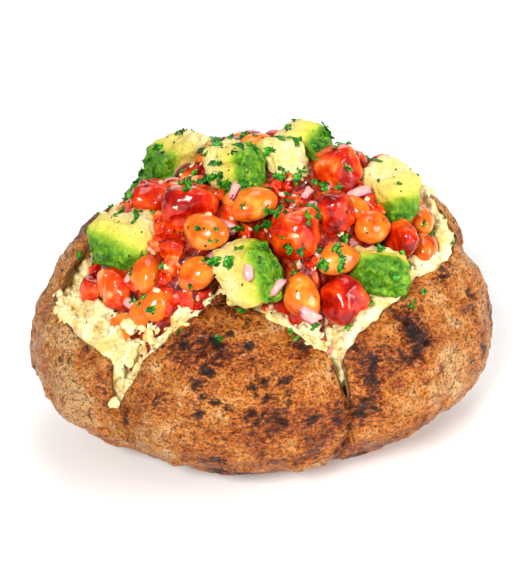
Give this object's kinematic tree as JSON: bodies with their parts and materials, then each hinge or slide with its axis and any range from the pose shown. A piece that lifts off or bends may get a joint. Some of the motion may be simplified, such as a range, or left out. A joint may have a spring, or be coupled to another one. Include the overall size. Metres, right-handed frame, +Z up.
{
  "type": "loaded baked potato",
  "caption": "Baked potato in its skin, cut crosswise and squeezed open, heaped with a chunky bean, tomato and avocado topping.",
  "frame": {"origin": "on the surface it rests on, under the middle of the whole object's box", "axes": "+X along the potato's long axis, +Z up, -Y towards the tallest front flap of skin"},
  "size_m": [0.124, 0.1012, 0.0853],
  "materials": {
    "potato": "dry baked potato skin, rough and spotted, with pale fluffed flesh inside",
    "sauce": "wet tomato sauce, glossy and lumpy",
    "avocado": "cut avocado flesh, soft satin, green on its outer side",
    "tomato": "cooked tomato, wet and glossy",
    "bean": "cooked bean, thin glossy skin"
  },
  "bodies": {
    "root": {"avocado_01": "avocado", "avocado_02": "avocado", "avocado_03": "avocado", "avocado_04": "avocado", "avocado_05": "avocado", "avocado_06": "avocado", "avocado_07": "avocado", "avocado_08": "avocado", "avocado_09": "avocado", "avocado_10": "avocado", "avocado_11": "avocado", "bean_01": "bean", "bean_02": "bean", "bean_03": "bean", "bean_04": "bean", "bean_05": "bean", "bean_06": "bean", "bean_07": "bean", "bean_08": "bean", "bean_09": "bean", "bean_10": "bean", "bean_11": "bean", "bean_12": "bean", "bean_13": "bean", "bean_14": "bean", "bean_15": "bean", "bean_16": "bean", "bean_17": "bean", "bean_18": "bean", "bean_19": "bean", "bean_20": "bean", "bean_21": "bean", "potato": "potato", "sauce_heap": "sauce", "tomato_01": "tomato", "tomato_02": "tomato", "tomato_03": "tomato", "tomato_04": "tomato", "tomato_05": "tomato", "tomato_06": "tomato", "tomato_07": "tomato", "tomato_08": "tomato", "tomato_09": "tomato", "tomato_10": "tomato", "tomato_11": "tomato", "tomato_12": "tomato", "tomato_13": "tomato", "tomato_14": "tomato", "tomato_15": "tomato", "tomato_16": "tomato", "tomato_17": "tomato", "tomato_18": "tomato", "tomato_19": "tomato", "tomato_20": "tomato", "tomato_21": "tomato"}
  },
  "joints": []
}
